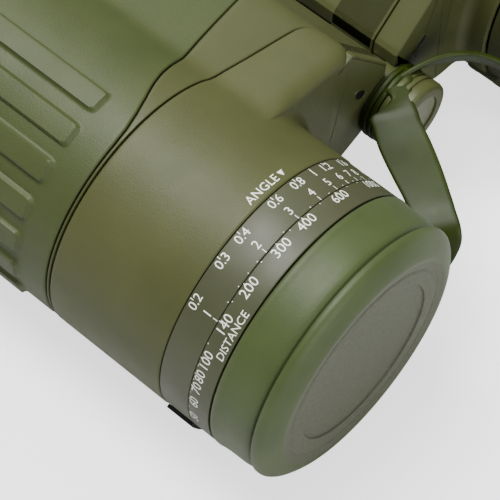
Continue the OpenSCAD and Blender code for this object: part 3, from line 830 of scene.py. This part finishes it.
# The profile starts and ends beside the axis, so lathe closes the cap at both ends
FACE_Y, FACE_R = -0.0360, 0.0252
for side in SIDES:
    cap_shape = lathe(CAP_PROFILE, sign(side) * BARREL_X, cols=320, radius=0.4, steps=5)
    cap = add_piece(f"{side}_soft_cap", cap_shape, "cap_rubber", f"{side}_cap",
                    [f"{side}_objective_cap"])
    # The face has a coarser, lighter grain than the skirt
    cap.data.materials.append(FINISH["cap_face"])
    centres = face_centres(cap)
    reach = np.hypot(centres[:, 0] - sign(side) * BARREL_X * MM, centres[:, 2] - LIFT * MM)
    on_face = (centres[:, 1] < FACE_Y) & (reach < FACE_R)
    cap.data.polygons.foreach_set("material_index", on_face.astype(np.int32))
print("caps", CAP_Y)

# %% [markdown]
# ## The straps
# Each cap hangs on a flat rubber strap, moulded in one piece with an eye that slips round the hinge
# stem. A strap is its two long edges: the points between them give the band, and its thickness is
# added along the cross product of the run and the width.

# %% Straps and their eyes
STRAP_T = 1.3


def smooth_run(points, per=12):
    """A Catmull-Rom curve through the points: each part is a cubic of its four nearest points."""
    p = np.array(points, dtype=float)
    p = np.concatenate([2 * p[:1] - p[1:2], p, 2 * p[-1:] - p[-2:-1]])
    t = np.linspace(0, 1, per, endpoint=False)[None, :, None]
    a, b, c, d = (p[i:len(p) - 3 + i, None] for i in range(4))
    curve = 0.5 * (2 * b + (c - a) * t + (2 * a - 5 * b + 4 * c - d) * t ** 2
                   + (3 * b - a - 3 * c + d) * t ** 3)
    return np.concatenate([curve.reshape(-1, p.shape[1]), p[-2:-1]])


def band(left, right, thick=STRAP_T, per=12):
    """A rubber band between two edge runs, with rounded edges and closed ends."""
    left, right = smooth_run(left, per), smooth_run(right, per)
    middle, across = (left + right) / 2, right - left
    width = np.linalg.norm(across, axis=1, keepdims=True)
    across = across / width
    run = np.gradient(middle, axis=0)
    up = np.cross(run, across)
    up /= np.linalg.norm(up, axis=1, keepdims=True)
    side_of = np.array([1] * 7 + [-1] * 7)
    inset = np.tile([1.2, 0.45, 0.15, 0.0, 0.15, 0.45, 1.2], 2)
    lift = np.array([1, 1, 0.72, 0, -0.72, -1, -1] + [-1, -1, -0.72, 0, 0.72, 1, 1])
    reach = side_of * (width / 2 - np.minimum(inset, 0.45 * width))
    ring = (middle[:, None] + reach[..., None] * across[:, None]
            + lift[None, :, None] * thick / 2 * up[:, None])
    rows = len(ring)
    faces = grid_faces(rows, 14).tolist()
    faces += [list(range(14))[::-1], list(range((rows - 1) * 14, rows * 14))]
    return ring.reshape(-1, 3), faces


def strap_eye(y):
    """The flat eye round the stem, turned, with soft edges."""
    return lathe([(6.6, y + 0.65), (6.6, y), (9.45, y), (9.45, y + 1.3), (6.6, y + 1.3),
                  (6.6, y + 0.65)], 0.0, HINGE_Z, cols=128, radius=0.45)


NEAR_LEFT = [(-5.6, 4.3, 4.4), (-5.0, 2.4, 5.6), (-5.8, 0.4, 6.0), (-8.3, 0.2, 5.2),
             (-11.5, 1.3, 3.6), (-13.0, -0.7, 3.0), (-16.3, -5.3, 2.6), (-19.8, -11.4, 2.6),
             (-23.0, -17.6, 2.4), (-25.6, -22.2, 1.8), (-27.2, -24.6, 0.6), (-27.9, -25.4, -1.6),
             (-28.2, -25.4, -4.2), (-28.6, -25.2, -6.4), (-29.4, -25.0, -7.4)]
NEAR_RIGHT = [(3.8, 4.3, 5.8), (3.2, 1.8, 6.6), (-0.3, -1.0, 6.4), (-2.3, -3.0, 6.0),
              (-4.1, -5.9, 5.6), (-5.5, -7.9, 5.4), (-8.4, -13.2, 5.0), (-12.6, -19.5, 5.0),
              (-17.1, -25.6, 4.9), (-18.8, -28.0, 4.5), (-20.6, -30.9, 3.5), (-21.7, -32.6, 1.0),
              (-22.7, -32.9, -2.4), (-25.0, -32.8, -5.6), (-28.8, -32.4, -7.2)]
FAR_EDGE = [(-3.4, 3.0, 6.2), (1.0, 2.0, 7.4), (5.0, 0.6, 8.6), (9.0, -1.2, 9.3), (13.2, -4.0, 9.4),
            (17.0, -6.6, 8.0), (20.4, -10.2, 5.6), (22.6, -16.0, 3.4), (23.6, -24.0, 2.0),
            (23.4, -30.2, 0.6), (22.8, -32.8, -2.4), (25.0, -32.8, -5.6), (28.8, -32.4, -7.2)]
FAR_INNER = [(3.0, 3.4, 5.0), (5.6, 4.2, 2.6), (8.6, 4.0, 1.4), (12.4, 2.8, 1.2), (16.6, 0.2, 1.2),
             (20.6, -2.6, 0.4), (24.2, -6.4, -1.4), (26.6, -12.0, -2.6), (28.0, -18.0, -2.6),
             (28.0, -22.6, -2.6), (28.2, -25.2, -3.6), (28.4, -25.2, -6.0), (29.4, -25.0, -7.4)]
for side, left, right in (("right", NEAR_LEFT, NEAR_RIGHT), ("left", FAR_EDGE, FAR_INNER)):
    shape = merge([strap_eye(3.4 if side == "right" else 2.0), band(left, right)])
    strap = add_piece(f"{side}_cap_strap", shape, "strap_rubber", None, [f"{side}_cap_tether"])
    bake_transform(strap)
print("straps", STRAP_T, "mm thick")

# %% [markdown]
# ## The tripod socket's cover
# A screwed cap turned with two grooves in its rim, and a paler disc let into its front.

# %% Socket cover
COVER_PROFILE = [(0.02, -3.75), (5.9, -3.75), (6.15, -3.85), (6.2, -4.3), (6.6, -4.4), (8.3, -4.4),
                 (9.05, -4.05), (9.3, -3.3), (9.3, -1.7), (8.85, -1.6), (8.85, -1.15), (9.3, -1.05),
                 (9.3, -0.1), (8.85, 0.0), (8.85, 0.45), (9.3, 0.55), (9.3, 1.6), (9.0, 1.9),
                 (6.5, 1.9), (6.5, 0.1), (5.9, 0.0), (5.9, -2.4), (0.02, -2.4)]
knob = add_piece("socket_knob", lathe(COVER_PROFILE, 0.0, HINGE_Z, cols=160, radius=0.16),
                 "cover_plastic", "cover", ["socket_cover"])
knob.data.materials.append(FINISH["cover_disc"])
DISC_Y, DISC_R = -0.0036, 0.0060
centres = face_centres(knob)
on_disc = (np.hypot(centres[:, 0], centres[:, 2]) < DISC_R) & (centres[:, 1] < DISC_Y)
knob.data.polygons.foreach_set("material_index", on_disc.astype(np.int32))
print("knob radius", max(r for r, _ in COVER_PROFILE), "mm")

# %% [markdown]
# ## The grip on the left tube
# Where the right tube has its scales, the left one has a band of grip rubber. The real band is
# ribbed along the tube. This one is a plain turned band: its ribs are not made.

# %% Left grip band
GRIP_COLS = 1600
GRIP_R = 30.5
GRIP_STATIONS = (-21.8, -20.9, -20.5, -20.2, -14.0, -8.0, -3.3, -3.0, -2.6, -1.7)

grip_rows = [(28.6, -22.1), (30.2, -22.1)]
grip_rows += [(GRIP_R, y) for y in GRIP_STATIONS]
grip_rows += [(30.2, -1.4), (29.95, -1.35)]
add_piece("left_grip_band", lathe(grip_rows, BARREL_X, cols=GRIP_COLS, radius=0),
          "grip_rubber", "left_barrel", ["left_grip_ring"])
print("grip band plain, radius", GRIP_R, "mm")

# %% [markdown]
# ## Eyepieces
# The focus ring is moulded rubber with broad ribs. The eyecup's wall has a shallow waist and two
# folds, as on a cup that can be turned down.

# %% Focus rings and eyecups
EYE_X = BARREL_X - EYE_SHIFT
FOCUS_RIBS = 30
FOCUS_INK_R = 18.95


def focus_wave(a, y, r):
    """Ribs 0.7 mm high round the ring's middle."""
    wave = 0.5 + 0.5 * np.tanh(2.6 * np.cos(a * FOCUS_RIBS))
    ends = smooth_step((y - 98.4) / 0.9) * smooth_step((109.4 - y) / 0.9) * (r > 18)
    return 0.7 * (wave - 1) * ends


def cup_wave(a, y, r):
    """Two shallow folds round the cup."""
    fold = np.exp(-((y - 124.0) / 0.7) ** 2) + np.exp(-((y - 131.0) / 0.7) ** 2)
    return -0.45 * fold * (r > 19.5) + 0 * a


focus_rows = [(15.0, 97.25), (18.6, 97.25), (18.9, 97.5), (19.45, 98.3)]
focus_rows += [(19.5, y) for y in np.linspace(98.45, 109.4, 22)]
focus_rows += [(19.0, 109.9), (18.9, 111.6), (18.5, 112.15), (15.0, 112.15)]
cup_rows = [(18.35, 116.5), (20.3, 116.5), (20.8, 117.0)]
cup_rows += [(21.0 - 0.25 * np.sin((y - 117.5) / 19.5 * np.pi), y)
             for y in np.linspace(117.5, 137.0, 60)]
cup_rows += [(20.85, 138.3), (20.3, 139.2), (19.5, 139.4), (18.7, 139.1), (18.4, 138.0),
             (18.4, 127.6), (14.6, 125.5), (14.6, 121.45), (18.35, 121.45)]
for side in SIDES:
    x = sign(side) * EYE_X
    add_piece(f"{side}_focus_grip", lathe(focus_rows, x, cols=FOCUS_RIBS * 16, radius=0,
                                          wave=focus_wave), "focus_rubber", f"{side}_focus",
              [f"{side}_focus_ring"])
    add_piece(f"{side}_rubber_eyecup", lathe(cup_rows, x, cols=192, radius=0, wave=cup_wave),
              "eyecup_rubber", f"{side}_eyepiece", [f"{side}_eyecup"])
    figures = []
    for text, angle in (("2", 66), ("0", 90), ("2", 114)):
        points, faces = flat_type(text, 2.0, 0.0)
        turned = np.radians(angle) + points[:, 0] / FOCUS_INK_R * -1
        spot = [x + FOCUS_INK_R * np.cos(turned), 110.9 + points[:, 1] * 0.5,
                FOCUS_INK_R * np.sin(turned)]
        figures.append((np.stack(spot, axis=-1), faces))
    add_piece(f"{side}_dioptre_figures", merge(figures), "focus_rubber", f"{side}_focus",
              finish="figure_ink")
print("focus ribs", FOCUS_RIBS)

# %% [markdown]
# ## Broken edges on the mechanical parts that show
# Cast and turned parts never have knife edges, so the ones in sight take a narrow bevel.

# %% Bevels
for node_name, width in {"right_rear_cover": 0.35, "left_rear_cover": 0.35, "right_strap_lug": 0.5,
                         "left_strap_lug": 0.5, "hinge_end_cap": 0.3, "left_window_frame": 0.15,
                         "angle_ring_pad": 0.3, "right_eyepiece_slide": 0.2,
                         "left_eyepiece_slide": 0.2, "right_cover_screws": 0.08,
                         "left_cover_screws": 0.08}.items():
    bevel = frame["nodes"][node_name].modifiers.new("edge", "BEVEL")
    bevel.width = width * MM
    bevel.segments = 2
    bevel.limit_method = "ANGLE"
    bevel.angle_limit = 0.7
print("bevels set")

# %% [markdown]
# ## Floor and light
# A plain pale floor, one broad soft light above, and weaker ones that open the shadows. The floor
# glows only where the camera sees it, so it stays bright and does not wash out the underside.

# %% Floor, lights and world
FLOOR_Z = cad_box[0][2] - 0.0002
FLOOR_HALF = 3000
floor_corners = np.array([[-1, -1, 0], [1, -1, 0], [1, 1, 0], [-1, 1, 0]]) * FLOOR_HALF
floor = make_object("floor", floor_corners + np.array([0, 0, FLOOR_Z / MM - LIFT]),
                    [[0, 1, 2, 3]], False)
floor_material, floor_tree, floor_shader, _ = start_material("pale_floor", 0.7)
floor_shader.inputs["Base Color"].default_value = (0.64, 0.64, 0.64, 1.0)
floor_shader.inputs["Emission Color"].default_value = (1.0, 1.0, 1.0, 1.0)
seen = add_node(floor_tree, "ShaderNodeLightPath").outputs["Is Camera Ray"]
FLOOR_GLOW = 1.6
glow = add_node(floor_tree, "ShaderNodeMath", {0: seen, 1: FLOOR_GLOW}, operation="MULTIPLY")
floor_tree.links.new(glow.outputs["Value"], floor_shader.inputs["Emission Strength"])
floor.data.materials.append(floor_material)


def area_light(name, at, towards, size, power):
    """A square area light at a place in metres, turned so that its -Z axis points at a target."""
    data = bpy.data.lights.new(name, "AREA")
    data.size = size
    data.energy = power
    light = bpy.data.objects.new(name, data)
    bpy.context.scene.collection.objects.link(light)
    back = np.array(at, dtype=float) - np.array(towards, dtype=float)
    back /= np.linalg.norm(back)
    across = np.cross([0, 0, 1.0], back)
    across /= np.linalg.norm(across)
    place = np.eye(4)
    place[:3] = np.stack([across, np.cross(back, across), back, at], axis=1)
    light.matrix_world = Matrix(place.tolist())
    return light


TARGET = (-0.02, 0.01, 0.0)
# Name, place, target, width in metres and power in watts
area_light("key_light", (-0.15, 0.25, 1.0), TARGET, 0.5, 19.0)
area_light("fill_light", (-0.2, -0.95, 0.45), TARGET, 0.7, 8.0)
area_light("edge_light", (0.3, 0.8, 0.7), TARGET, 0.5, 4.0)
world = bpy.data.worlds.new("studio")
world.use_nodes = True
world.node_tree.nodes["Background"].inputs["Color"].default_value = (0.95, 0.97, 1.0, 1.0)
world.node_tree.nodes["Background"].inputs["Strength"].default_value = 0.26
bpy.context.scene.world = world
print("floor at", round(FLOOR_Z, 4))
